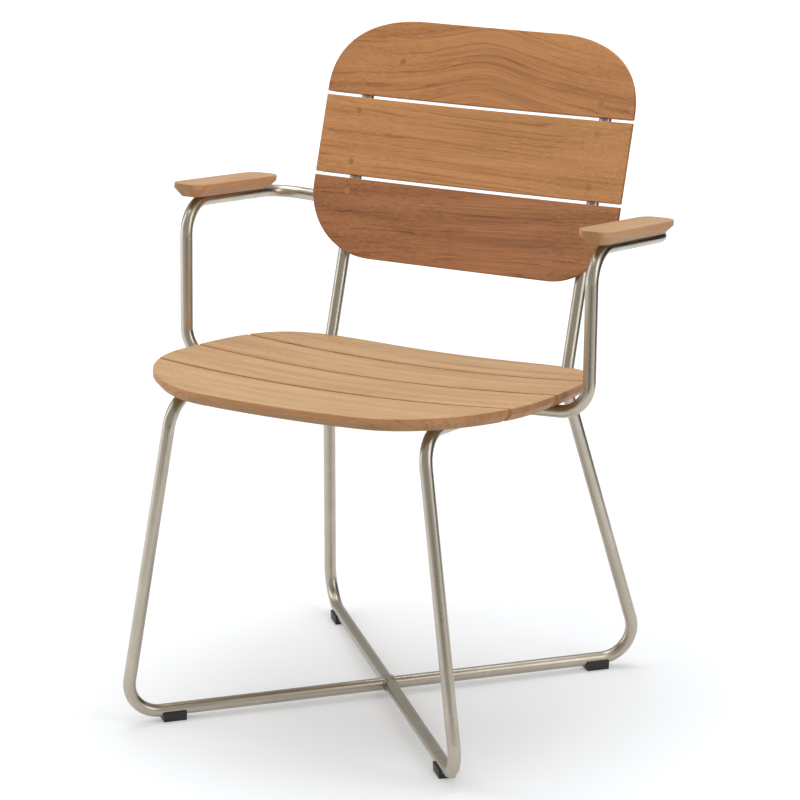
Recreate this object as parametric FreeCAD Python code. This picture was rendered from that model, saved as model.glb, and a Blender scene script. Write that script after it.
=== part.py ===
import FreeCAD, Part
import math
import os

from FreeCAD import Placement, Rotation, Vector

# Teak armchair on a bent stainless tube frame.
# Millimetres. The front of the chair faces -Y, +Z is up, the floor is Z = 0.
# Left and right are as seen from the front: the right side is +X.

# Tube stock and bending
tube_diameter = 16.0
tube_wall = 1.5
bend_radius = 40.0
tube_radius = tube_diameter / 2
bore_radius = tube_radius - tube_wall
weld_bead = 2.2
weld_reach = 2 * tube_diameter

# Floor bars: two diagonals that cross under the seat
base_half_width = 235.0
base_front = -252.0
base_rear = 260.0
bar_height = 13.0

# Seat: boards on two rails, leaning back and dished across the width
seat_height = 424.7
seat_angle = 4.5
seat_dish_radius = 2880.0
seat_thickness = 16.0
seat_half_width = 254.5
seat_widest = -80.0
seat_front = -262.0
seat_rear = 168.0
seat_front_flat = 110.0
seat_rear_flat = 90.0
seat_front_fullness = 0.53
seat_rear_fullness = 0.83
seat_board_width = 99.0
seat_gap = 6.0
seat_middle_gap = -37.0
rail_half_spacing = 172.5
rail_front = -222.0
rail_rear = 155.5

# Back: three boards on two leaning uprights joined across the top
back_angle = 18.4
back_curve_radius = 1900.0
back_thickness = 12.0
back_half_width = 221.0
back_bottom = 126.0
back_board_count = 3
back_board_width = 102.2
back_gap = 4.6
back_top_flat = 95.0
back_top_drop = 97.0
back_top_fullness = 0.63
back_bottom_corner = 91.0
round_fullness = 0.5523
back_bar_height = 387.0
back_bar_bow = 13.3
back_bar_bow_radius = 1500.0
splice_straight = 1.5

# Arms: one tube each side, from the seat rail up, back and in to the upright
arm_half_spacing = 286.0
arm_low_y = -13.5
arm_low_below_seat = 11.2
arm_high_y = -8.5
arm_high_above_seat = 190.5
arm_join_height = 199.0
arm_rear_rise = 5.5
armrest_length = 206.0
armrest_width = 46.5
armrest_thickness = 17.5
armrest_front_overhang = 8.0
armrest_corner_x = 17.0
armrest_corner_y = 26.0
armrest_fullness = 0.6

# Woodwork details
groove_depth = 2.0
groove_clearance = 0.1
seat_chamfer = 8.0
back_chamfer = 7.0
armrest_chamfer = 10.5
arris_radius = 1.2
gap_chamfer = 0.5

# Fixings
plug_diameter = 8.0
plug_depth = 4.0
plug_waste = 1.0
screw_diameter = 4.0
screw_head_diameter = 7.6
screw_head_height = 2.6
screw_bite = 10.0
hole_clearance = 0.2
port_diameter = screw_head_diameter + 2 * hole_clearance
plug_margin = 17.0
plug_corner_margin = 18.487
back_bar_plug = 121.0
seat_screw_margin = 25.0
armrest_screw_margin = 52.0

# Floor glides
foot_length = 30.0
foot_width = 21.0
foot_top_drop = 1.5
foot_taper = 0.5
foot_from_corner = 63.0
foot_pin_diameter = 5.0
foot_pin_height = 6.0

match_tolerance = 1e-3
UP = Vector(0, 0, 1)
ACROSS = Vector(1, 0, 0)


def largest(shape):
    return max(shape.Solids, key=lambda solid: solid.Volume)


def mirrored(shape):
    return shape.mirror(Vector(), ACROSS)


def other_side(point):
    return Vector(-point.x, point.y, point.z)


def sag(x, radius):
    """Rise of an arc of this radius at a distance x from its lowest point."""
    return radius - math.sqrt(radius ** 2 - x ** 2)


def lean_frame(origin, angle):
    """Placement whose local Y runs at an angle from the floor in the YZ plane."""
    return Placement(origin, Rotation(ACROSS, angle))


def bent_path(corners, radii):
    """Centre line of a bent tube: straight runs joined by arcs."""
    edges = []
    start = corners[0]
    for before, corner, after, radius in zip(corners, corners[1:], corners[2:], radii):
        heading = (corner - before).normalize()
        leaving = (after - corner).normalize()
        half_turn = heading.getAngle(leaving) / 2
        reach = radius * math.tan(half_turn)
        inward = (leaving - heading).normalize()
        middle = corner + inward * (radius / math.cos(half_turn) - radius)
        first = corner - heading * reach
        last = corner + leaving * reach
        edges.append(Part.LineSegment(start, first).toShape())
        edges.append(Part.Arc(first, middle, last).toShape())
        start = last
    edges.append(Part.LineSegment(start, corners[-1]).toShape())
    return Part.Wire(edges)


def rod(corners, radius, radii=None):
    """Solid round bar along a bent path."""
    if radii is None:
        radii = [bend_radius] * (len(corners) - 2)
    ring = Part.Wire([Part.makeCircle(radius, corners[0], corners[1] - corners[0])])
    return bent_path(corners, radii).makePipeShell([ring], True, False)


def tube(corners, radii=None):
    return rod(corners, tube_radius, radii).cut(rod(corners, bore_radius, radii))


def pin(start, direction, diameter, length):
    return Part.makeCylinder(diameter / 2, length, start, direction)


def screw(seat_point, direction, length, clearance=0.0):
    """Round-headed screw whose head bears at seat_point and whose shank runs along direction, or its hole."""
    head = pin(seat_point + direction * clearance, direction * -1,
               screw_head_diameter + 2 * clearance, screw_head_height + 2 * clearance)
    return head.fuse(pin(seat_point, direction, screw_diameter + 2 * clearance, length + clearance))


def weld(first_corners, second_corners):
    """Bead in the angle where the second tube ends on the first, shaped at floor level and lifted to the joint."""
    lift = UP * second_corners[0].z
    end = second_corners[0] - lift
    heading = (second_corners[1] - second_corners[0]).normalize()
    first = [corner - lift for corner in first_corners]
    ball = Part.makeSphere(weld_reach, end)
    collar = rod(first, tube_radius + weld_bead).common(ball).cut(rod(first, tube_radius))
    sleeve = pin(end, heading, tube_diameter + 2 * weld_bead, 2 * weld_reach)
    bead = largest(collar.common(sleeve.cut(pin(end, heading, tube_diameter, 2 * weld_reach))))
    bead.translate(lift)
    return bead


def corner_curve(side, end, fullness):
    """Outline corner from a point on the side edge to a point on the end edge."""
    curve = Part.BezierCurve()
    curve.setPoles([
        side,
        Vector(side.x, side.y + fullness * (end.y - side.y), 0),
        Vector(end.x + fullness * (side.x - end.x), end.y, 0),
        end,
    ])
    return curve.toShape()


def outline(low_side, low_end, low_fullness, high_side, high_end, high_fullness):
    """Closed outline, symmetric about X = 0, from its right-hand corner points."""
    right = [corner_curve(low_side, low_end, low_fullness),
             corner_curve(high_side, high_end, high_fullness)]
    edges = right + [mirrored(edge) for edge in right]
    edges.append(Part.LineSegment(other_side(low_end), low_end).toShape())
    edges.append(Part.LineSegment(other_side(high_end), high_end).toShape())
    if high_side.y > low_side.y:
        edges.append(Part.LineSegment(low_side, high_side).toShape())
        edges.append(Part.LineSegment(other_side(low_side), other_side(high_side)).toShape())
    return Part.Wire(Part.__sortEdges__(edges))


def rim(board, height):
    """Edges round the broadest face of a board whose lowest point is at this height."""
    faces = [face for face in board.Faces if abs(face.BoundBox.ZMin - height) < match_tolerance]
    return max(faces, key=lambda face: face.Area).Edges


def curved_board(edge_wire, radius, thickness, chamfer):
    """Board hollow towards +Z, with its lower rim bevelled."""
    span = edge_wire.BoundBox
    length = span.YLength + 2 * thickness
    base = Vector(0, span.YMin - thickness, radius)
    along = Vector(0, 1, 0)
    shell = Part.makeCylinder(radius + thickness, length, base, along)
    shell = shell.cut(Part.makeCylinder(radius, length, base, along))
    prism = Part.Face(edge_wire).extrude(UP * (3 * thickness + sag(span.XMax, radius)))
    prism.translate(UP * -2 * thickness)
    board = largest(prism.common(shell))
    board = board.makeChamfer(chamfer, rim(board, -thickness))
    return board.makeFillet(arris_radius, rim(board, 0))


def gap_cutter(centre, gap, radius, thickness, half_width):
    """Gap across a curved board, flared at both faces so that the slats get bevelled edges."""
    half = gap / 2
    flare = half + 2 * gap_chamfer
    right = [(flare, gap_chamfer), (half, -gap_chamfer), (half, gap_chamfer - thickness),
             (flare, -gap_chamfer - thickness)]
    left = [(-across, height) for across, height in reversed(right)]
    points = [Vector(0, centre + across, height) for across, height in right + left]
    turn = math.degrees(math.asin((half_width + thickness) / radius))
    profile = Part.Face(Part.makePolygon(points + points[:1]))
    axis_point = Vector(0, centre, radius)
    axis = Vector(0, 1, 0)
    profile.rotate(axis_point, axis, -turn)
    return profile.revolve(axis_point, axis, 2 * turn)


def slats(board, gap_centres, gap, radius, thickness):
    """Curved board cut into slats at the gaps, in order along Y."""
    half_width = board.BoundBox.XMax
    for centre in gap_centres:
        board = board.cut(gap_cutter(centre, gap, radius, thickness, half_width))
    return sorted(board.Solids, key=lambda solid: solid.CenterOfMass.y)


# Reference frames: seat boards and back boards in their own flat frames
seat_frame = lean_frame(Vector(0, 0, seat_height), -seat_angle)
rail_depth = sag(rail_half_spacing, seat_dish_radius) - seat_thickness + groove_depth - tube_radius
right_node = seat_frame.multVec(Vector(rail_half_spacing, rail_rear, rail_depth))
upright_frame = lean_frame(Vector(0, right_node.y, right_node.z), 90 - back_angle)
back_offset = back_thickness - groove_depth + tube_radius - sag(rail_half_spacing, back_curve_radius)
back_frame = Placement(upright_frame.multVec(UP * back_offset), upright_frame.Rotation)


def upright(x, along, ahead=0.0):
    return upright_frame.multVec(Vector(x, along, ahead))


# Tube centre lines on the right side; the left side mirrors them
right_front_top = seat_frame.multVec(Vector(rail_half_spacing, rail_front, rail_depth))
right_front_floor = Vector(base_half_width, base_front, bar_height)
right_rear_floor = Vector(base_half_width, base_rear, bar_height)
rear_leg_turn = (right_node - right_rear_floor).getAngle(upright(0, 1) - upright(0, 0))
splice_height = bend_radius * math.tan(rear_leg_turn / 2) + splice_straight
right_splice = upright(rail_half_spacing, splice_height)
crossing = (right_front_floor + other_side(right_rear_floor)) * 0.5

long_corners = [right_node, right_front_top, right_front_floor, other_side(right_rear_floor),
                other_side(right_node), other_side(right_splice)]
front_corners = [crossing, other_side(right_front_floor), other_side(right_front_top),
                 other_side(right_node)]
rear_corners = [crossing, right_rear_floor, right_node, right_splice]

back_bar_ends = [upright(side * rail_half_spacing, back_bar_height) for side in (-1, 1)]
back_bar_middle = upright(0, back_bar_height, -back_bar_bow)
back_corners = [other_side(right_splice), back_bar_ends[0], back_bar_middle, back_bar_ends[1], right_splice]
back_radii = [bend_radius, back_bar_bow_radius, bend_radius]

arm_join = upright(rail_half_spacing, arm_join_height)
rail_slope = math.tan(math.radians(seat_angle))
arm_root = Vector(rail_half_spacing, arm_low_y,
                  right_node.z + (right_node.y - arm_low_y) * rail_slope)
arm_corners = [arm_root,
               Vector(arm_half_spacing, arm_low_y, seat_height - arm_low_below_seat),
               Vector(arm_half_spacing, arm_high_y, seat_height + arm_high_above_seat),
               Vector(arm_half_spacing, arm_join.y, arm_join.z + arm_rear_rise),
               arm_join]

# Bare tubes, with every end shaped to the tube that it meets
long_rod = rod(long_corners, tube_radius)
rear_rod = rod(rear_corners, tube_radius)
back_rod = rod(back_corners, tube_radius, back_radii)
base_tube_long = largest(tube(long_corners).cut(rear_rod))
base_tube_front = largest(tube(front_corners).cut(long_rod))
base_tube_rear = largest(tube(rear_corners).cut(rod(long_corners[2:4], tube_radius)))
back_tube = tube(back_corners, back_radii)
arm_tube_right = largest(tube(arm_corners).cut(long_rod).cut(back_rod))

# Weld beads at the tube joints
right_welds = [weld(long_corners[:2], arm_corners), weld(back_corners[3:], arm_corners[::-1])]
rail_end_right = [right_node, right_front_top]
rail_end_left = [other_side(point) for point in rail_end_right]
weld_beads = right_welds + [mirrored(bead) for bead in right_welds]
weld_beads += [weld(rear_corners[1:], rail_end_right), weld(long_corners[3:], rail_end_left)]
weld_beads += [weld(long_corners[2:4], front_corners), weld(long_corners[2:4], rear_corners)]

# Boards
seat_gaps = [seat_middle_gap + step * (seat_board_width + seat_gap) for step in (-1, 0, 1)]
seat_side = Vector(seat_half_width, seat_widest, 0)
seat_outline = outline(seat_side, Vector(seat_front_flat, seat_front, 0), seat_front_fullness,
                       seat_side, Vector(seat_rear_flat, seat_rear, 0), seat_rear_fullness)
seat_board = curved_board(seat_outline, seat_dish_radius, seat_thickness, seat_chamfer)
seat_slats = slats(seat_board, seat_gaps, seat_gap, seat_dish_radius, seat_thickness)

back_pitch = back_board_width + back_gap
back_top = back_bottom + back_board_count * back_pitch - back_gap
back_gaps = [back_bottom + step * back_pitch - back_gap / 2 for step in range(1, back_board_count)]
back_outline = outline(
    Vector(back_half_width, back_bottom + back_bottom_corner, 0),
    Vector(back_half_width - back_bottom_corner, back_bottom, 0), round_fullness,
    Vector(back_half_width, back_top - back_top_drop, 0),
    Vector(back_top_flat, back_top, 0), back_top_fullness)
back_board = curved_board(back_outline, back_curve_radius, back_thickness, back_chamfer)
back_slats = slats(back_board, back_gaps, back_gap, back_curve_radius, back_thickness)

armrest_half = armrest_width / 2
armrest_outline = outline(
    Vector(armrest_half, armrest_corner_y, 0),
    Vector(armrest_half - armrest_corner_x, 0, 0), armrest_fullness,
    Vector(armrest_half, armrest_length - armrest_corner_y, 0),
    Vector(armrest_half - armrest_corner_x, armrest_length, 0), armrest_fullness)
armrest_board = Part.Face(armrest_outline).extrude(UP * armrest_thickness)
armrest_board = armrest_board.makeChamfer(armrest_chamfer, rim(armrest_board, 0))
armrest_board = armrest_board.makeFillet(arris_radius, rim(armrest_board, armrest_thickness))
arm_heading = (arm_corners[3] - arm_corners[2]).normalize()
arm_across = arm_heading.cross(UP).normalize()
arm_normal = arm_across.cross(arm_heading)
arm_frame = Placement(arm_corners[2] - arm_heading * armrest_front_overhang,
                      Rotation(arm_across, arm_heading, arm_normal, "YZX"))
armrest_lift = tube_radius - groove_depth


def seated(board, frame, tubes):
    """Board moved to its place, grooved where it sits on the tubes."""
    placed = board.copy()
    placed.Placement = frame.multiply(placed.Placement)
    return largest(placed.cut(tubes))


groove_radius = tube_radius + groove_clearance
arm_groove = rod(arm_corners, groove_radius)
arm_grooves = [arm_groove, mirrored(arm_groove)]
seat_grooves = [rod(path, groove_radius) for path in (long_corners, front_corners, rear_corners)]
back_groove = rod(back_corners, groove_radius, back_radii)
armrest_frame = Placement(arm_frame.multVec(UP * armrest_lift), arm_frame.Rotation)
seat_slats = [seated(slat, seat_frame, seat_grooves + arm_grooves + weld_beads) for slat in seat_slats]
back_slats = [seated(slat, back_frame, [back_groove] + arm_grooves + weld_beads) for slat in back_slats]
armrest_right = seated(armrest_board, armrest_frame, [arm_groove])

# Fixings: plugged screws in the back, screws from below in the seat and the armrests
back_ahead = back_frame.Rotation.multVec(UP)
upright_line = Part.LineSegment(Vector(rail_half_spacing, back_bottom, 0), Vector(rail_half_spacing, back_top, 0))
upright_on_back = upright_line.toShape().common(Part.Face(back_outline))
lower_edge_rise = min(end.Y for end in upright_on_back.Vertexes) - back_bottom
plug_places = [(back_bar_plug, back_bar_height)]
for step in range(back_board_count):
    low = back_bottom + step * back_pitch
    lower_margin = plug_margin if step else plug_corner_margin + lower_edge_rise
    plug_places.append((rail_half_spacing, low + lower_margin))
    if step < back_board_count - 1:
        plug_places.append((rail_half_spacing, low + back_board_width - plug_margin))
plug_points = []
for x, along in plug_places:
    for side in (-1, 1):
        face_height = sag(x, back_curve_radius)
        plug_points.append(back_frame.multVec(Vector(side * x, along, face_height)))
plug_pins = [pin(point + back_ahead * plug_waste, back_ahead * -1, plug_diameter, plug_waste + plug_depth)
             for point in plug_points]
whole_back = back_board.copy()
whole_back.Placement = back_frame.multiply(whole_back.Placement)
back_plugs = [largest(item.common(whole_back)) for item in plug_pins]
back_seats = [point - back_ahead * (plug_depth + screw_head_height) for point in plug_points]
back_fixings = [(point, back_ahead * -1, screw_bite) for point in back_seats]

seat_down = seat_frame.Rotation.multVec(UP * -1)
screw_rows = [(low + high) / 2 for low, high in zip(seat_gaps, seat_gaps[1:] + [seat_rear])]
screw_rows.append(seat_gaps[0] - seat_screw_margin)
tube_screw_length = tube_wall + screw_bite
seat_fixings = []
seat_ports = []
for row in screw_rows:
    for side in (-1, 1):
        rail_axis = seat_frame.multVec(Vector(side * rail_half_spacing, row, rail_depth))
        seat_fixings.append((rail_axis - seat_down * bore_radius, seat_down * -1, tube_screw_length))
        seat_ports.append(pin(rail_axis, seat_down, port_diameter, tube_diameter))

arm_fixings = []
arm_ports = []
for along in (armrest_screw_margin, armrest_length - armrest_screw_margin):
    arm_axis = arm_frame.multVec(Vector(0, along, 0))
    arm_fixings.append((arm_axis + arm_normal * bore_radius, arm_normal, tube_screw_length))
    arm_ports.append(pin(arm_axis, arm_normal * -1, port_diameter, tube_diameter))

back_screws = [screw(*fixing) for fixing in back_fixings]
seat_screws = [screw(*fixing) for fixing in seat_fixings]
right_arm_screws = [screw(*fixing) for fixing in arm_fixings]
arm_screws = right_arm_screws + [mirrored(item) for item in right_arm_screws]


def drilled(shape, cutters):
    return largest(shape.cut(cutters))


back_holes = [screw(*fixing, hole_clearance) for fixing in back_fixings]
seat_holes = [screw(*fixing, hole_clearance) for fixing in seat_fixings]
arm_holes = [screw(*fixing, hole_clearance) for fixing in arm_fixings]
back_slats = [drilled(slat, plug_pins + back_holes) for slat in back_slats]
seat_slats = [drilled(slat, seat_holes) for slat in seat_slats]
armrest_right = drilled(armrest_right, arm_holes)
back_tube = drilled(back_tube, back_holes)
base_tube_long = drilled(base_tube_long, seat_holes + seat_ports)
base_tube_front = drilled(base_tube_front, seat_holes + seat_ports)
arm_tube_right = drilled(arm_tube_right, arm_holes + arm_ports)

# Floor glides: saddle blocks pressed under the bars just inside the bends


def block(length, width, height):
    return Part.makePolygon([
        Vector(-length / 2, -width / 2, height), Vector(length / 2, -width / 2, height),
        Vector(length / 2, width / 2, height), Vector(-length / 2, width / 2, height),
        Vector(-length / 2, -width / 2, height)])


def foot(corner):
    """Glide that wraps the underside of the bar, and the hole in the bar for its pin."""
    inward = (crossing - corner).normalize()
    centre = corner + inward * foot_from_corner
    body = Part.makeLoft([block(foot_length - 2 * foot_taper, foot_width - 2 * foot_taper, 0),
                          block(foot_length, foot_width, bar_height - foot_top_drop)], True)
    body.Placement = Placement(Vector(centre.x, centre.y, 0), Rotation(ACROSS, inward))
    body = largest(body.cut(rod([corner, crossing], tube_radius)))
    root = Vector(centre.x, centre.y, (bar_height - tube_radius) / 2)
    peg = pin(root, UP, foot_pin_diameter, bar_height - tube_radius - root.z + foot_pin_height)
    hole = pin(root, UP, foot_pin_diameter + 2 * hole_clearance, bar_height - root.z)
    return body.fuse(peg), hole


feet = {}
foot_holes = []
for name, corner in (("front_left", other_side(right_front_floor)), ("front_right", right_front_floor),
                     ("rear_left", other_side(right_rear_floor)), ("rear_right", right_rear_floor)):
    feet[name], hole = foot(corner)
    foot_holes.append(hole)
base_tube_long = drilled(base_tube_long, foot_holes)
base_tube_front = drilled(base_tube_front, foot_holes)
base_tube_rear = drilled(base_tube_rear, foot_holes)

nodes = {
    "base_tube_long": base_tube_long,
    "base_tube_front": base_tube_front,
    "base_tube_rear": base_tube_rear,
    "back_tube": back_tube,
    "arm_tube_right": arm_tube_right,
    "arm_tube_left": mirrored(arm_tube_right),
    "armrest_right": armrest_right,
    "armrest_left": mirrored(armrest_right),
    "back_plugs": Part.makeCompound(back_plugs),
    "back_screws": Part.makeCompound(back_screws),
    "seat_screws": Part.makeCompound(seat_screws),
    "armrest_screws": Part.makeCompound(arm_screws),
    "weld_beads": Part.makeCompound(weld_beads),
}
for name, slat in zip(("front", "front_middle", "rear_middle", "rear"), seat_slats):
    nodes["seat_slat_" + name] = slat
for name, slat in zip(("bottom", "middle", "top"), back_slats):
    nodes["back_slat_" + name] = slat
for name, shape in feet.items():
    nodes["foot_" + name] = shape

os.makedirs("parts", exist_ok=True)
whole = Part.makeCompound(list(nodes.values())).optimalBoundingBox(False)
for name, shape in nodes.items():
    centred = shape.copy()
    centred.translate(Vector(0, -whole.Center.y, 0))
    centred.exportStep(os.path.join("parts", name + ".step"))
    print(name, len(centred.Solids), centred.isValid(), round(centred.Volume))
print("size", round(whole.XLength, 1), round(whole.YLength, 1), round(whole.ZLength, 1), "middle", whole.Center)
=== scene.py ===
# %% [markdown]
# # A teak armchair on a stainless tube frame
# The chair is loaded as finished solids: bent tubes, teak boards, screws and feet, all in metres and in one
# frame. The front faces -Y, +X is to the right as seen from the front, and the floor is Z = 0. The lesson is
# about finishes: oiled teak with its own figure on each board, satin stainless tube and moulded feet.

import math

import bpy
from mathutils import Euler, Matrix, Vector


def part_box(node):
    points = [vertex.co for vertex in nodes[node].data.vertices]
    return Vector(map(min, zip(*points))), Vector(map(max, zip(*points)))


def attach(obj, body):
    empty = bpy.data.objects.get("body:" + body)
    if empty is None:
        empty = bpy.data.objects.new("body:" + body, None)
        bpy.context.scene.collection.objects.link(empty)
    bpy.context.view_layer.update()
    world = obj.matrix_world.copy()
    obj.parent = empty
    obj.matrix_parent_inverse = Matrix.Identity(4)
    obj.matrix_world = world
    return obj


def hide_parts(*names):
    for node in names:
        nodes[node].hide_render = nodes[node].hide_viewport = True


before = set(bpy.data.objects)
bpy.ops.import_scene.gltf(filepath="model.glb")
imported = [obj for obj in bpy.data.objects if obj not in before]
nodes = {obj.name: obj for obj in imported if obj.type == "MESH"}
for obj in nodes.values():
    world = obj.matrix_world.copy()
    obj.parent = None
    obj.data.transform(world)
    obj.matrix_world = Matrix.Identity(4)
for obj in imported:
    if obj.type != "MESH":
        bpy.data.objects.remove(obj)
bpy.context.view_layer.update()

# %% [markdown]
# ## The camera
# The photograph is taken from in front and to the right, at about eye height, with a long lens some metres
# away. A long lens keeps the legs nearly parallel. The chair is a little off the middle of the picture. That
# could be had by turning the camera, but it would change how the legs lean, so the small shift is set on the
# lens as a photographer does it.

# %% Camera
IMAGE_SIZE = 800
FOCAL_PIXELS = 3310.56
SENSOR_WIDTH = 36.0
PRINCIPAL_POINT = (421.63, 363.20)
CAMERA_PLACE = (1.94411, -3.49440, 1.49919)
CAMERA_TURN = 28.57
CAMERA_PITCH = 14.92

camera_data = bpy.data.cameras.new("camera")
camera_data.sensor_width = SENSOR_WIDTH
camera_data.lens = FOCAL_PIXELS / IMAGE_SIZE * SENSOR_WIDTH
camera_data.shift_x = (IMAGE_SIZE / 2 - PRINCIPAL_POINT[0]) / IMAGE_SIZE
camera_data.shift_y = (PRINCIPAL_POINT[1] - IMAGE_SIZE / 2) / IMAGE_SIZE
camera = bpy.data.objects.new("camera", camera_data)
camera.location = CAMERA_PLACE
camera.rotation_euler = (math.radians(90 - CAMERA_PITCH), 0, math.radians(CAMERA_TURN))
scene = bpy.context.scene
scene.collection.objects.link(camera)
scene.camera = camera
print("lens", round(camera_data.lens, 1), "mm")

# %% [markdown]
# ## Small helpers
# Colours are picked as they look on a screen, in sRGB hex, and the shaders want linear light, so one function
# converts them. Another adds a shader node, sets its settings and fills its sockets with values or links. A
# noise texture counts cells per metre, while a maker thinks in millimetres, so a third converts sizes.

# %% Colour, node and material helpers


def colour(hex_text):
    """Linear RGBA from an sRGB hex colour such as C9A37A."""
    values = [int(hex_text[place:place + 2], 16) / 255 for place in (0, 2, 4)]
    linear = [v / 12.92 if v <= 0.04045 else ((v + 0.055) / 1.055) ** 2.4 for v in values]
    return (*linear, 1.0)


def add(tree, kind, sockets=None, **settings):
    """Add a shader node; a socket takes a value, or another node's output as a link.

    A colour mix has its factor at socket 0, its colours at 6 and 7 and its result at output 2.
    """
    node = tree.nodes.new(kind)
    for name, value in settings.items():
        setattr(node, name, value)
    for socket, value in (sockets or {}).items():
        if isinstance(value, bpy.types.NodeSocket):
            tree.links.new(value, node.inputs[socket])
        else:
            node.inputs[socket].default_value = value
    return node


def cells(millimetres):
    """Scale of a noise whose cells have this size."""
    return 1000 / millimetres


def new_material(name):
    """An empty node material and its tree."""
    material = bpy.data.materials.new(name)
    material.use_nodes = True
    material.node_tree.nodes.clear()
    return material, material.node_tree


def dress(node_name, material):
    """Give every slot of a loaded node this material."""
    slots = nodes[node_name].material_slots
    for slot in slots:
        slot.material = material
    if not slots:
        nodes[node_name].data.materials.append(material)


print("helpers ready")

# %% [markdown]
# ## The floor
# The studio has a white paper sweep that rises out of sight and is lit by itself, so it burns out to white away
# from the chair and keeps only the soft shadow below it. A curved wall could be modelled, but a flat floor that
# glows more and more away from the chair looks the same, and it never cuts into a view from another side. The
# glow is painted light, only for the eye: its light is kept off the chair, where it would wash out the shade of
# the boards. It is weakest near the chair, so it also paints part of the soft shade round the chair.

# %% Floor
FLOOR_SIZE = 60.0
GLOW_START, GLOW_END = 0.3, 4.0
GLOW_NEAR, GLOW_FAR = 0.2, 0.8

bpy.ops.object.select_all(action="DESELECT")
bpy.ops.mesh.primitive_plane_add(size=FLOOR_SIZE, location=(0, 0, 0))
floor = bpy.context.object
floor.name = "floor"
# Matt paper: no reflections, only a hardly visible fleck of fibres. Its emission is a painted glow, weakest
# near the chair, so it also paints part of the soft shade there.
paper, tree = new_material("paper_with_painted_glow")
place = add(tree, "ShaderNodeTexCoord")
away = add(tree, "ShaderNodeVectorMath", {0: place.outputs["Object"]}, operation="LENGTH")
glow = add(tree, "ShaderNodeMapRange", {"Value": away.outputs["Value"], "From Min": GLOW_START,
                                        "From Max": GLOW_END, "To Min": GLOW_NEAR, "To Max": GLOW_FAR},
           interpolation_type="SMOOTHSTEP")
fleck = add(tree, "ShaderNodeTexNoise", {"Vector": place.outputs["Object"], "Scale": cells(25), "Detail": 3.0})
tone = add(tree, "ShaderNodeMix", {0: fleck.outputs[0], 6: colour("EDF0F3"), 7: colour("F1F4F7")},
           data_type="RGBA")
shader = add(tree, "ShaderNodeBsdfPrincipled", {"Base Color": tone.outputs[2], "Roughness": 0.9,
                                                "Specular IOR Level": 0.1, "Emission Color": (1, 1, 1, 1),
                                                "Emission Strength": glow.outputs[0]})
add(tree, "ShaderNodeOutputMaterial", {"Surface": shader.outputs[0]})
floor.data.materials.append(paper)
floor.visible_diffuse = False
print("floor", floor.dimensions[:2])

# %% [markdown]
# ## Studio light
# The room is dim, and soft boxes do the work: one above the seat and a tall one on each side. Lamps of this
# size give soft shadows, and the tall ones draw a long bright strip on every tube. A sun lamp would be simpler,
# but its shadows are hard.

# %% Room and soft boxes
ROOM_LIGHT = 0.47
CHAIR_MIDDLE = (0.0, 0.0, 0.45)

scene.view_settings.view_transform = "Standard"
scene.view_settings.look = "None"
world = bpy.data.worlds.new("studio")
scene.world = world
world.use_nodes = True
world.node_tree.nodes.clear()
room = add(world.node_tree, "ShaderNodeBackground", {"Color": (1, 1, 1, 1), "Strength": ROOM_LIGHT})
add(world.node_tree, "ShaderNodeOutputWorld", {"Surface": room.outputs[0]})


def soft_box(name, place, width, height, power):
    """A rectangular lamp, in metres and watts, that faces the chair."""
    data = bpy.data.lights.new(name, "AREA")
    data.shape = "RECTANGLE"
    data.size = width
    data.size_y = height
    data.energy = power
    lamp = bpy.data.objects.new(name, data)
    lamp.location = place
    lamp.rotation_euler = (Vector(CHAIR_MIDDLE) - Vector(place)).to_track_quat("-Z", "Y").to_euler()
    scene.collection.objects.link(lamp)


soft_box("above", (-0.2, 0.2, 2.6), 2.2, 2.2, 38.5)
soft_box("left", (-2.2, -1.0, 1.3), 1.0, 2.2, 14.0)
soft_box("right", (2.4, -0.2, 1.4), 1.0, 2.0, 14.0)

# %% [markdown]
# Steel shows what is around it more than what shines on it, so the dark studio beside the paper matters as much
# as the lamps. Cards of black felt stand for it on the right and in front, and draw the dark lines in the
# tubes. A grey one dims the near paper that the tubes reflect. The camera doesn't see the cards and they cast
# no shadow, so they hardly change anything but the steel.

# %% Felt cards


def felt(name, dark, light):
    """Matt cloth, which swallows light, with a nap of about 3 mm."""
    material, tree = new_material(name)
    place = add(tree, "ShaderNodeTexCoord")
    nap = add(tree, "ShaderNodeTexNoise", {"Vector": place.outputs["Object"], "Scale": cells(3.333)})
    tone = add(tree, "ShaderNodeMix", {0: nap.outputs[0], 6: colour(dark), 7: colour(light)}, data_type="RGBA")
    shader = add(tree, "ShaderNodeBsdfPrincipled", {"Base Color": tone.outputs[2], "Roughness": 1.0,
                                                    "Specular IOR Level": 0.0})
    add(tree, "ShaderNodeOutputMaterial", {"Surface": shader.outputs[0]})
    return material


def reflected_card(name, material, place, tip, width, depth):
    """A card that only the steel sees.

    Its place is right, away and up from the chair as the camera sees it, in metres, and tip is its turn in
    degrees.
    """
    bpy.ops.object.select_all(action="DESELECT")
    bpy.ops.mesh.primitive_plane_add(size=1.0, location=place, rotation=[math.radians(angle) for angle in tip])
    card = bpy.context.object
    card.name = name
    card.scale = (width, depth, 1.0)
    bpy.ops.object.transform_apply(location=True, rotation=True, scale=True)
    card.rotation_euler = (0, 0, math.radians(CAMERA_TURN))
    bpy.ops.object.transform_apply(location=True, rotation=True, scale=True)
    card.data.materials.append(material)
    card.visible_camera = False
    card.visible_diffuse = False
    card.visible_shadow = False


black_felt = felt("black_felt", "2E2D2A", "383733")
grey_felt = felt("grey_felt", "D6D4CE", "DEDCD6")
# The cards on the floor lie 2 and 4 mm above the paper, so that they don't meet it or each other.
reflected_card("grey_floor_front", grey_felt, (0.0, -5.0, 0.002), (0, 0, 0), 10.0, 8.0)
reflected_card("dark_floor_front", black_felt, (0.05, -2.6, 0.004), (0, 0, 0), 0.95, 3.0)
reflected_card("dark_floor_right", black_felt, (4.55, 2.5, 0.002), (0, 0, 0), 6.0, 6.0)
reflected_card("dark_wall_right", black_felt, (4.0, 2.5, 1.2), (0, 90, 0), 2.4, 6.0)

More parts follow.
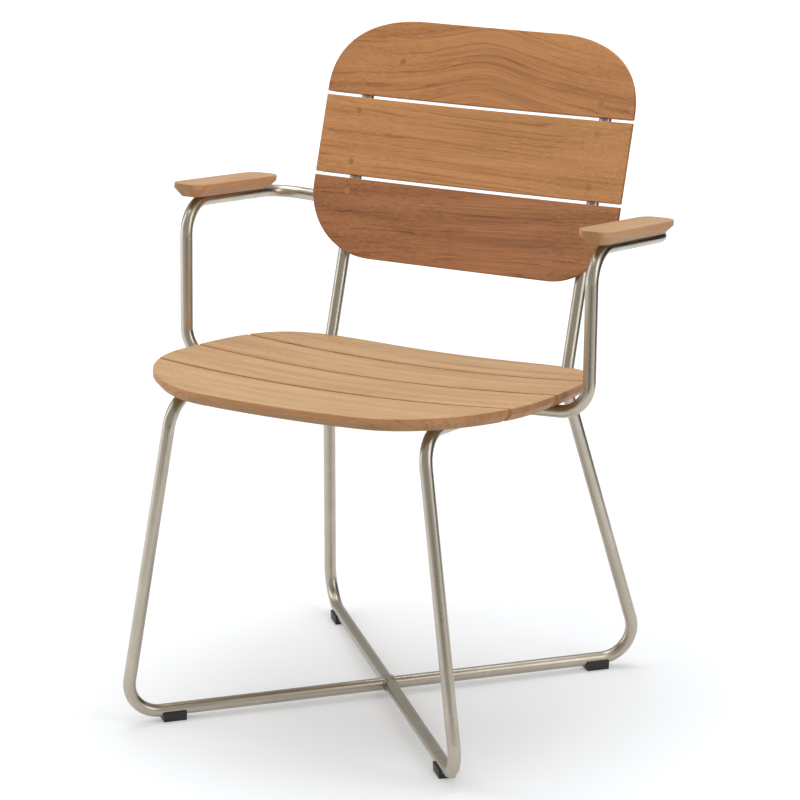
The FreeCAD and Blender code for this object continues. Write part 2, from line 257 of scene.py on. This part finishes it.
# %% [markdown]
# ## Oiled teak
# Teak is ring-porous: each year leaves a pale band that ends in a thin dark line, and its pores are dark
# scratches along the grain. The bands are rings about the pith of the log, so a board is drawn as a cut through
# a log: the board is turned flat, the pith is put some centimetres beside it, and the log leans a little, so
# that the rings run out in curves. A picture of wood would repeat and stretch round the edges; rings in space
# also give the end grain.

# %% Where a board lies in its log


def log_place(tree, node_name, flat, pith, tilt, hump, hump_width):
    """Coordinates in the log that a board was cut from, with X along the grain."""
    low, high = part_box(node_name)
    middle = flat.to_matrix() @ ((low + high) / 2)
    place = add(tree, "ShaderNodeTexCoord")
    board = add(tree, "ShaderNodeMapping", {"Vector": place.outputs["Object"], "Rotation": flat,
                                            "Location": -middle})
    parts = add(tree, "ShaderNodeSeparateXYZ", {"Vector": board.outputs[0]})
    # The hump is a bell: hump / (1 + (x / hump_width) ** 2).
    reach = add(tree, "ShaderNodeMath", {0: parts.outputs["X"], 1: hump_width}, operation="DIVIDE")
    spread = add(tree, "ShaderNodeMath", {0: reach.outputs[0], 1: reach.outputs[0], 2: 1.0},
                 operation="MULTIPLY_ADD")
    rise = add(tree, "ShaderNodeMath", {0: -hump, 1: spread.outputs[0]}, operation="DIVIDE")
    lift = add(tree, "ShaderNodeMath", {0: rise.outputs[0], 1: parts.outputs["Y"]}, operation="ADD")
    bowed = add(tree, "ShaderNodeCombineXYZ", {"X": parts.outputs["X"], "Y": lift.outputs[0],
                                               "Z": parts.outputs["Z"]})
    log = add(tree, "ShaderNodeMapping", {"Vector": bowed.outputs[0], "Location": pith,
                                          "Rotation": [math.radians(angle) for angle in tilt]})
    return log.outputs[0]


print("log coordinates ready")

# %% [markdown]
# The figure has four parts. Year rings come from a wave texture in a log that is stretched along the grain,
# and some years leave a strong line and others hardly any. Fibres, pores and broad streaks are noises with long
# thin cells. Drawing them one by one lets each have its own size and weight.

# %% Figure of the wood
# A wave texture of scale 1 repeats its rings after this distance.
RING_PERIOD = math.pi / 10
RING_STRETCH = 0.05
RING_WEIGHT, FIBRE_WEIGHT, STREAK_WEIGHT, PORE_WEIGHT = 0.75, 0.60, 0.22, 0.35
# Length and width of the cells in millimetres. Real pores are about 0.2 mm wide and fibres are finer; both are
# drawn wider so that they show.
YEAR_CELL = (500, 11.11)
FIBRE_CELL = (200, 0.7143)
PORE_CELL = (71.43, 0.6667)
STREAK_CELL = (333.3, 16.67)


def grain_noise(tree, log, cell, **detail):
    """Noise with cells of this length along the grain and this width."""
    length, width = cell
    scale = (cells(length), cells(width), cells(width))
    place = add(tree, "ShaderNodeMapping", {"Vector": log, "Scale": scale})
    return add(tree, "ShaderNodeTexNoise", {"Vector": place.outputs[0], "Scale": 1.0, **detail}).outputs[0]


def wood_figure(tree, log, ring_width):
    """How dark the figure is before its contrast is set, and its fibres."""
    stretched = add(tree, "ShaderNodeMapping", {"Vector": log, "Scale": (RING_STRETCH, 1.0, 1.0)})
    rings = add(tree, "ShaderNodeTexWave", {"Vector": stretched.outputs[0], "Scale": RING_PERIOD / ring_width,
                                            "Distortion": 9.0, "Detail": 3.0, "Detail Scale": 1.0,
                                            "Detail Roughness": 0.6},
                wave_type="RINGS", rings_direction="X", wave_profile="SAW")
    line = add(tree, "ShaderNodeMath", {0: rings.outputs["Fac"], 1: 4.0}, operation="POWER")
    year = grain_noise(tree, log, YEAR_CELL, Detail=1.0)
    strong = add(tree, "ShaderNodeMapRange", {"Value": year, "From Min": 0.40, "From Max": 0.68,
                                              "To Max": RING_WEIGHT})
    fibre = grain_noise(tree, log, FIBRE_CELL, Detail=4.0, Roughness=0.62)
    fibre_depth = add(tree, "ShaderNodeMapRange", {"Value": fibre, "From Min": 0.36, "From Max": 0.70,
                                                   "To Max": FIBRE_WEIGHT})
    lined = add(tree, "ShaderNodeMath", {0: line.outputs[0], 1: strong.outputs[0], 2: fibre_depth.outputs[0]},
                operation="MULTIPLY_ADD")
    streak = grain_noise(tree, log, STREAK_CELL, Detail=2.0)
    streak_depth = add(tree, "ShaderNodeMapRange", {"Value": streak, "From Min": 0.3, "From Max": 0.7,
                                                    "To Min": -STREAK_WEIGHT, "To Max": STREAK_WEIGHT})
    streaked = add(tree, "ShaderNodeMath", {0: lined.outputs[0], 1: streak_depth.outputs[0]}, operation="ADD")
    pore_noise = grain_noise(tree, log, PORE_CELL, Detail=1.0)
    pore = add(tree, "ShaderNodeMapRange", {"Value": pore_noise, "From Min": 0.60, "From Max": 0.72})
    figure = add(tree, "ShaderNodeMath", {0: pore.outputs[0], 1: PORE_WEIGHT, 2: streaked.outputs[0]},
                 operation="MULTIPLY_ADD")
    return figure.outputs[0], fibre


print("wood figure ready")

# %% [markdown]
# Edges and bevels are painted apart from the faces as light and shade: on the seat and the back they are
# painted redder and a little darker, a painted shade, and on the armrests paler, a painted light. Cut ends
# drink more oil than faces and get darker. Edges and ends could be picked as faces of the mesh, but the way
# that the surface faces tells them apart as well, and also blends them round a bevel.

# %% Edges, ends and the whole finish
# How strongly a cut end takes up the end tone, and how dark that is beside the dark tone of the figure
END_SOAK = 0.4
END_DARKNESS = 0.55


def edges_and_ends(tree, flat, face_tone, edge_shading, dark):
    """The tone of the faces, with painted light and shade on the edges and darker cut ends."""
    surface = add(tree, "ShaderNodeNewGeometry")
    to_chair = flat.to_matrix().transposed()
    lying = add(tree, "ShaderNodeVectorMath", {0: surface.outputs["Normal"], 1: to_chair @ Vector((0, 0, 1))},
                operation="DOT_PRODUCT")
    slope = add(tree, "ShaderNodeMath", {0: lying.outputs["Value"]}, operation="ABSOLUTE")
    # Painted light and shade: faces turned away from the board's face get the edge tint.
    edge = add(tree, "ShaderNodeMapRange", {"Value": slope.outputs[0], "From Min": 0.9, "From Max": 0.6})
    edge_shaded = add(tree, "ShaderNodeMix", {0: edge.outputs[0], 6: face_tone, 7: edge_shading},
                data_type="RGBA", blend_type="MULTIPLY")
    along = add(tree, "ShaderNodeVectorMath", {0: surface.outputs["Normal"], 1: to_chair @ Vector((1, 0, 0))},
                operation="DOT_PRODUCT")
    cut = add(tree, "ShaderNodeMath", {0: along.outputs["Value"]}, operation="ABSOLUTE")
    soaked = add(tree, "ShaderNodeMapRange", {"Value": cut.outputs[0], "From Min": 0.7, "To Max": END_SOAK})
    end_tone = [END_DARKNESS * channel for channel in colour(dark)[:3]] + [1.0]
    tone = add(tree, "ShaderNodeMix", {0: soaked.outputs[0], 6: edge_shaded.outputs[2], 7: end_tone},
               data_type="RGBA")
    return tone.outputs[2]


def teak(node_name, turn, pith, tilt, hump, hump_width, ring_width, light, dark, contrast, edge_shading):
    """Oiled teak for one board: a dull sheen with open pores.

    turn lays the board flat with its grain along X, pith is the place of the log's middle from the board's
    middle, and tilt is how far the log leans from the board. The log has a hump of this height and half width,
    in metres, where a branch left it. edge_shading is the painted light and shade of the edges: how much more
    red, green and blue an edge shows than the face beside it.
    """
    material, tree = new_material("oiled_teak_" + node_name)
    flat = Euler([math.radians(angle) for angle in turn], "XYZ")
    log = log_place(tree, node_name, flat, pith, tilt, hump, hump_width)
    figure, fibre = wood_figure(tree, log, ring_width)
    depth = add(tree, "ShaderNodeMath", {0: figure, 1: contrast}, operation="MULTIPLY", use_clamp=True)
    face_tone = add(tree, "ShaderNodeMix", {0: depth.outputs[0], 6: colour(light), 7: colour(dark)},
                    data_type="RGBA")
    tone = edges_and_ends(tree, flat, face_tone.outputs[2], edge_shading, dark)
    sheen = add(tree, "ShaderNodeMapRange", {"Value": fibre, "From Min": 0.3, "From Max": 0.7,
                                             "To Min": 0.46, "To Max": 0.62})
    relief = add(tree, "ShaderNodeBump", {"Height": figure, "Strength": 0.25, "Distance": 0.0003}, invert=True)
    shader = add(tree, "ShaderNodeBsdfPrincipled", {"Base Color": tone, "Roughness": sheen.outputs[0],
                                                    "Normal": relief.outputs[0], "IOR": 1.47,
                                                    "Specular IOR Level": 0.35})
    add(tree, "ShaderNodeOutputMaterial", {"Surface": shader.outputs[0]})
    return material


print("teak ready")

# %% [markdown]
# Every board comes from another place in another log, so each gets its own pith and lean, with rings and tones
# to suit. The top board of the back has the hump of a branch, which gives it its arched figure, and the bottom
# board is the darkest. The seat and the armrests are paler than the back, as in the photograph.

# %% Boards
SEAT_TURN = (4.5, 0, 0)
BACK_TURN = (-71.6, 0, 0)
ARM_TURN = (0, 0, -90)
# Painted light and shade on the edges: how much more of red, green and blue an edge sends back than the face
# beside it. Seat and back edges get a painted shade, redder and darker; armrest edges get a painted light.
SEAT_EDGE_SHADE = (1.15, 0.91, 0.81, 1.0)
BACK_EDGE_SHADE = (1.04, 0.95, 0.90, 1.0)
ARM_EDGE_LIGHT = (1.27, 1.15, 1.06, 1.0)
# Each board: turn, pith, tilt,
#             hump, half width of the hump, ring width, pale tone, dark tone, contrast, painted edge shading
boards = {
    "seat_slat_front": (SEAT_TURN, (0.3, 0.10, 0.06), (0, 1.0, 0.8),
                        0.008, 0.15, 0.0060, "CEAA7E", "A1754B", 0.9, SEAT_EDGE_SHADE),
    "seat_slat_front_middle": (SEAT_TURN, (0.1, -0.13, 0.05), (0, -0.8, 0.5),
                               0.005, 0.2, 0.0055, "CCA87C", "A1744A", 0.9, SEAT_EDGE_SHADE),
    "seat_slat_rear_middle": (SEAT_TURN, (0.7, 0.12, 0.09), (0, 0.8, -0.6),
                              -0.006, 0.2, 0.0050, "CBA67A", "9E7148", 0.9, SEAT_EDGE_SHADE),
    "seat_slat_rear": (SEAT_TURN, (0.2, -0.11, 0.07), (0, 1.0, 0.4),
                       0.004, 0.2, 0.0060, "CCA77B", "A0734A", 0.9, SEAT_EDGE_SHADE),
    "back_slat_top": (BACK_TURN, (0.05, 0.10, 0.03), (0, 0.8, 0.5),
                      0.034, 0.085, 0.0070, "C88D57", "88522E", 0.9, BACK_EDGE_SHADE),
    "back_slat_middle": (BACK_TURN, (0.9, -0.13, 0.06), (0, -0.6, 1.5),
                         0.006, 0.2, 0.0075, "CE955E", "935E35", 0.85, BACK_EDGE_SHADE),
    "back_slat_bottom": (BACK_TURN, (0.4, 0.055, 0.03), (0, 1.2, -2.0),
                         -0.010, 0.2, 0.0050, "B87D52", "74462A", 1.05, BACK_EDGE_SHADE),
    "armrest_left": (ARM_TURN, (0.2, 0.10, 0.05), (0, 1.0, 1.0),
                     0.004, 0.1, 0.0050, "C09A74", "9E744C", 0.8, ARM_EDGE_LIGHT),
    "armrest_right": (ARM_TURN, (0.6, -0.12, 0.06), (0, -1.0, 0.6),
                      0.004, 0.1, 0.0050, "C09A74", "9E744C", 0.8, ARM_EDGE_LIGHT),
}
for node_name, cut in boards.items():
    dress(node_name, teak(node_name, *cut))
print("teak boards:", len(boards))

# %% [markdown]
# ## Plugs
# The screws of the back are closed with teak plugs, glued in and sanded flush. A plug is so small that it
# shows no figure, only pores end on, so it has the same oil finish with a fine speckle and no long lines. Each
# plug is cut from another offcut, so a slow noise gives every one a tone of its own.

# %% Plug material
plug, tree = new_material("teak_plug_end_grain")
place = add(tree, "ShaderNodeTexCoord")
speckle = add(tree, "ShaderNodeTexNoise", {"Vector": place.outputs["Object"], "Scale": cells(1.111),
                                           "Detail": 3.0})
offcut = add(tree, "ShaderNodeTexNoise", {"Vector": place.outputs["Object"], "Scale": cells(90.91),
                                          "Detail": 0.0})
mottle = add(tree, "ShaderNodeMath", {0: speckle.outputs[0], 1: 0.5, 2: offcut.outputs[0]},
             operation="MULTIPLY_ADD")
choice = add(tree, "ShaderNodeMapRange", {"Value": mottle.outputs[0], "From Min": 0.55, "From Max": 0.95})
tone = add(tree, "ShaderNodeMix", {0: choice.outputs[0], 6: colour("BC8250"), 7: colour("9C6634")},
           data_type="RGBA")
shader = add(tree, "ShaderNodeBsdfPrincipled", {"Base Color": tone.outputs[2], "Roughness": 0.6, "IOR": 1.47,
                                                "Specular IOR Level": 0.3})
add(tree, "ShaderNodeOutputMaterial", {"Surface": shader.outputs[0]})
dress("back_plugs", plug)
print("plugs dressed")

# %% [markdown]
# ## Satin stainless tube
# The frame is stainless tube, ground to a satin finish and left bare. Satin grinding blurs reflections and
# leaves small patches that are a little duller. The pattern is in space and has no direction, because the tubes
# bend every way; a stretched pattern would turn across the tube at a bend. The weld beads are brushed and
# duller, and the screws are a plainer grey.

# %% Stainless material


def stainless(name, bright, dull, smooth, rough):
    """Ground stainless steel with patches of duller finish and a fine grit."""
    material, tree = new_material(name)
    place = add(tree, "ShaderNodeTexCoord")
    patch = add(tree, "ShaderNodeTexNoise", {"Vector": place.outputs["Object"], "Scale": cells(35.71),
                                             "Detail": 3.0})
    # Grinding grit is finer than the picture can show, so it is drawn about 1 mm coarse.
    grit = add(tree, "ShaderNodeTexNoise", {"Vector": place.outputs["Object"], "Scale": cells(0.9091),
                                            "Detail": 2.0})
    tone = add(tree, "ShaderNodeMix", {0: patch.outputs[0], 6: colour(bright), 7: colour(dull)},
               data_type="RGBA")
    wear = add(tree, "ShaderNodeMath", {0: grit.outputs[0], 1: 0.35, 2: patch.outputs[0]},
               operation="MULTIPLY_ADD")
    gloss = add(tree, "ShaderNodeMapRange", {"Value": wear.outputs[0], "From Min": 0.4, "From Max": 0.95,
                                             "To Min": smooth, "To Max": rough})
    relief = add(tree, "ShaderNodeBump", {"Height": grit.outputs[0], "Strength": 0.03, "Distance": 0.0001})
    shader = add(tree, "ShaderNodeBsdfPrincipled", {"Base Color": tone.outputs[2], "Metallic": 1.0,
                                                    "Roughness": gloss.outputs[0], "Normal": relief.outputs[0]})
    add(tree, "ShaderNodeOutputMaterial", {"Surface": shader.outputs[0]})
    return material


satin_tube = stainless("satin_stainless", "C0B8A9", "AEA697", 0.24, 0.36)
for node_name in ("base_tube_long", "base_tube_front", "base_tube_rear", "back_tube", "arm_tube_right",
                  "arm_tube_left"):
    dress(node_name, satin_tube)
dress("weld_beads", stainless("brushed_weld", "B9AF9E", "94897A", 0.35, 0.55))
screw_steel = stainless("screw_stainless", "BDBBB6", "9E9C97", 0.25, 0.4)
for node_name in ("back_screws", "seat_screws", "armrest_screws"):
    dress(node_name, screw_steel)
print("metal nodes dressed")

# %% [markdown]
# ## Feet
# Each floor bar stands on two moulded feet, black plastic blocks with a saddle for the tube. The solid foot has
# sharp edges; a moulded part has small radii, so a foot is modelled again: a block of the same size, tapered a
# little towards the floor, the saddle cut with a cylinder, and all edges rounded.

# %% Model one foot
FOOT_LENGTH = 0.030
FOOT_WIDTH = 0.021
FOOT_HEIGHT = 0.0115
FOOT_TAPER = 0.0005
FOOT_ROUNDING = 0.0010
TUBE_RADIUS = 0.008
BAR_HEIGHT = 0.013


def model_foot():
    """A foot at the origin, its bar along X."""
    bpy.ops.object.select_all(action="DESELECT")
    bpy.ops.mesh.primitive_cube_add(size=1.0, location=(0, 0, FOOT_HEIGHT / 2))
    block = bpy.context.object
    block.scale = (FOOT_LENGTH, FOOT_WIDTH, FOOT_HEIGHT)
    bpy.ops.object.transform_apply(location=True, rotation=True, scale=True)
    bpy.ops.object.mode_set(mode="EDIT")
    bpy.ops.mesh.select_all(action="DESELECT")
    bpy.ops.object.mode_set(mode="OBJECT")
    for vertex in block.data.vertices:
        vertex.select = vertex.co.z < FOOT_HEIGHT / 2
    bpy.ops.object.mode_set(mode="EDIT")
    bpy.ops.transform.resize(value=(1 - 2 * FOOT_TAPER / FOOT_LENGTH, 1 - 2 * FOOT_TAPER / FOOT_WIDTH, 1),
                             center_override=(0, 0, 0))
    bpy.ops.object.mode_set(mode="OBJECT")
    bpy.ops.object.select_all(action="DESELECT")
    bpy.ops.mesh.primitive_cylinder_add(vertices=64, radius=TUBE_RADIUS, depth=3 * FOOT_LENGTH,
                                        location=(0, 0, BAR_HEIGHT), rotation=(0, math.pi / 2, 0))
    bar = bpy.context.object
    bpy.context.view_layer.objects.active = block
    saddle = block.modifiers.new("saddle", "BOOLEAN")
    saddle.operation = "DIFFERENCE"
    saddle.object = bar
    bpy.ops.object.modifier_apply(modifier="saddle")
    rounding = block.modifiers.new("rounding", "BEVEL")
    rounding.width = FOOT_ROUNDING
    rounding.segments = 3
    rounding.limit_method = "ANGLE"
    rounding.angle_limit = math.radians(50)
    bpy.ops.object.modifier_apply(modifier="rounding")
    bpy.data.objects.remove(bar)
    return block


pattern = model_foot()
print("foot faces:", len(pattern.data.polygons))

# %% [markdown]
# The mould of such a foot has a spark-eroded surface, so the plastic is a dull black with a fine grain that
# catches a little light on the upper edges.

# %% Foot material
black, tree = new_material("black_moulded_plastic")
place = add(tree, "ShaderNodeTexCoord")
spark = add(tree, "ShaderNodeTexNoise", {"Vector": place.outputs["Object"], "Scale": cells(0.7692),
                                         "Detail": 2.0})
tone = add(tree, "ShaderNodeMix", {0: spark.outputs[0], 6: colour("232120"), 7: colour("2C2A28")},
           data_type="RGBA")
matt = add(tree, "ShaderNodeMapRange", {"Value": spark.outputs[0], "To Min": 0.42, "To Max": 0.62})
relief = add(tree, "ShaderNodeBump", {"Height": spark.outputs[0], "Strength": 0.15, "Distance": 0.0002})
shader = add(tree, "ShaderNodeBsdfPrincipled", {"Base Color": tone.outputs[2], "Roughness": matt.outputs[0],
                                                "Normal": relief.outputs[0], "IOR": 1.5})
add(tree, "ShaderNodeOutputMaterial", {"Surface": shader.outputs[0]})
print("foot material:", black.name)

# %% [markdown]
# A foot is turned along its floor bar. The bar runs from a front foot to the opposite rear foot, so the
# middles of the two solid feet give its direction. The foot is copied, each copy with its own mesh, and the
# turn and the place go into the mesh, because a finished piece keeps its object at the origin.

# %% Place the four feet
foot_names = ("foot_front_left", "foot_front_right", "foot_rear_left", "foot_rear_right")
opposite = dict(zip(foot_names, reversed(foot_names)))
middles = {name: (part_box(name)[0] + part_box(name)[1]) / 2 for name in foot_names}

for name in foot_names:
    along = middles[opposite[name]] - middles[name]
    turn = Matrix.Rotation(math.atan2(along.y, along.x), 4, "Z")
    mesh = pattern.data.copy()
    mesh.transform(Matrix.Translation((middles[name].x, middles[name].y, 0)) @ turn)
    foot = bpy.data.objects.new("moulded_" + name, mesh)
    scene.collection.objects.link(foot)
    mesh.materials.clear()
    mesh.materials.append(black)
    bpy.ops.object.select_all(action="DESELECT")
    foot.select_set(True)
    bpy.context.view_layer.objects.active = foot
    bpy.ops.object.shade_smooth_by_angle(angle=math.radians(35))
    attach(foot, "root")
    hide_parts(name)
bpy.data.objects.remove(pattern)
print("feet placed:", len(foot_names))
